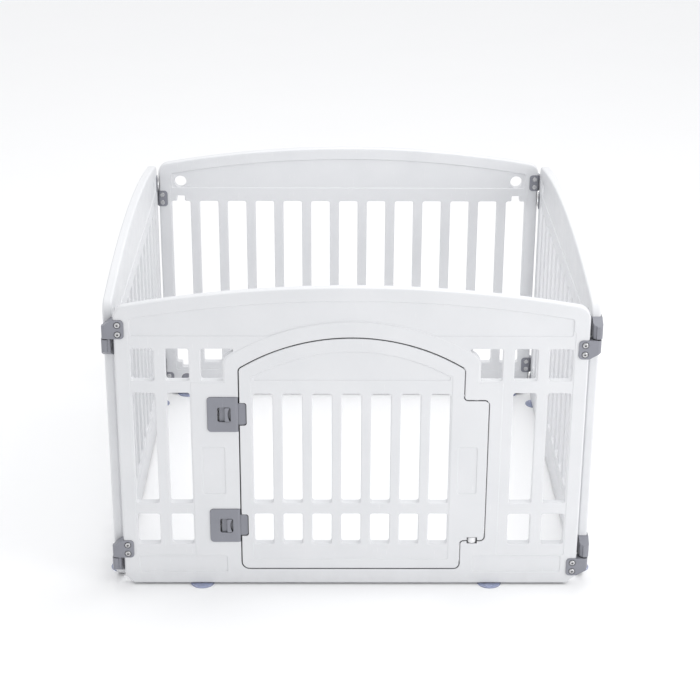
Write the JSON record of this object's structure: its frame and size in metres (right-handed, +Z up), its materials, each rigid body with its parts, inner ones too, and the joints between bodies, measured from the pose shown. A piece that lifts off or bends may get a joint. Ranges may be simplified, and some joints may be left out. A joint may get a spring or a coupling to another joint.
{
  "type": "pet playpen",
  "caption": "Square moulded pet pen: arched barred panels hinged at the corners, a latched swing door in the front panel, and suction cup feet.",
  "frame": {"origin": "centre of the square pen on the floor under the suction cups", "axes": "+Z up; -Y towards the door panel; X along the door panel"},
  "size_m": [0.9428, 0.9428, 0.6159],
  "materials": {
    "panel_plastic": "satin moulded light grey",
    "trim_plastic": "satin mid grey",
    "bush_plastic": "white acetal",
    "steel": "bright zinc plated",
    "clear_plastic": "clear soft vinyl, faint blue"
  },
  "bodies": {
    "front": {"front_panel": "panel_plastic", "front_base_hinge_socket": "trim_plastic", "front_base_hinge_post": "trim_plastic", "front_top_hinge_socket": "trim_plastic", "front_top_hinge_post": "trim_plastic", "front_hinge_pins": "steel", "front_hinge_screws": "steel", "front_hinge_nuts": "steel", "front_left_foot": "clear_plastic", "front_right_foot": "clear_plastic", "base_latch_housing": "trim_plastic", "base_latch_spring": "steel", "base_latch_screws": "steel", "base_door_pivot_pin": "steel", "base_door_pivot_bush": "bush_plastic", "top_latch_housing": "trim_plastic", "top_latch_spring": "steel", "top_latch_screws": "steel", "top_door_pivot_pin": "steel", "top_door_pivot_bush": "bush_plastic"},
    "left": {"left_panel": "panel_plastic", "left_base_hinge_socket": "trim_plastic", "left_base_hinge_post": "trim_plastic", "left_top_hinge_socket": "trim_plastic", "left_top_hinge_post": "trim_plastic", "left_hinge_pins": "steel", "left_hinge_screws": "steel", "left_hinge_nuts": "steel", "left_left_foot": "clear_plastic", "left_right_foot": "clear_plastic", "left_eye_plugs": "trim_plastic"},
    "back": {"back_panel": "panel_plastic", "back_base_hinge_socket": "trim_plastic", "back_base_hinge_post": "trim_plastic", "back_top_hinge_socket": "trim_plastic", "back_top_hinge_post": "trim_plastic", "back_hinge_pins": "steel", "back_hinge_screws": "steel", "back_hinge_nuts": "steel", "back_left_foot": "clear_plastic", "back_right_foot": "clear_plastic", "back_eye_plugs": "trim_plastic"},
    "right": {"right_panel": "panel_plastic", "right_base_hinge_socket": "trim_plastic", "right_base_hinge_post": "trim_plastic", "right_top_hinge_socket": "trim_plastic", "right_top_hinge_post": "trim_plastic", "right_hinge_pins": "steel", "right_hinge_screws": "steel", "right_hinge_nuts": "steel", "right_left_foot": "clear_plastic", "right_right_foot": "clear_plastic", "right_eye_plugs": "trim_plastic"},
    "door": {"door": "panel_plastic"},
    "latch_top": {"top_latch_bolt": "trim_plastic"},
    "latch_base": {"base_latch_bolt": "trim_plastic"}
  },
  "joints": [
    {"name": "left_panel_fold", "type": "hinge", "parent": "front", "child": "left", "pos_m": [-0.448, -0.448, 0], "axis": [0, 0, 1], "range_deg": [-15, 15]},
    {"name": "back_panel_fold", "type": "hinge", "parent": "left", "child": "back", "pos_m": [-0.448, 0.448, 0], "axis": [0, 0, 1], "range_deg": [-15, 15]},
    {"name": "right_panel_fold", "type": "hinge", "parent": "front", "child": "right", "pos_m": [0.448, -0.448, 0], "axis": [0, 0, 1], "range_deg": [-15, 15]},
    {"name": "door_swing", "type": "hinge", "parent": "front", "child": "door", "pos_m": [0.2325, -0.448, 0], "axis": [0, 0, 1], "range_deg": [0, 120]},
    {"name": "latch_top_slide", "type": "slide", "parent": "front", "child": "latch_top", "axis": [-1, 0, 0], "range_m": [0, 0.013], "stiffness_N_per_m": 300, "springref_m": -0.006, "deforming": ["top_latch_spring"]},
    {"name": "latch_base_slide", "type": "slide", "parent": "front", "child": "latch_base", "axis": [-1, 0, 0], "range_m": [0, 0.013], "stiffness_N_per_m": 300, "springref_m": -0.006, "deforming": ["base_latch_spring"]}
  ],
  "couplings": [
    {"joint": "back_panel_fold", "follows": "left_panel_fold", "ratio": -1},
    {"joint": "right_panel_fold", "follows": "left_panel_fold", "ratio": 1}
  ]
}
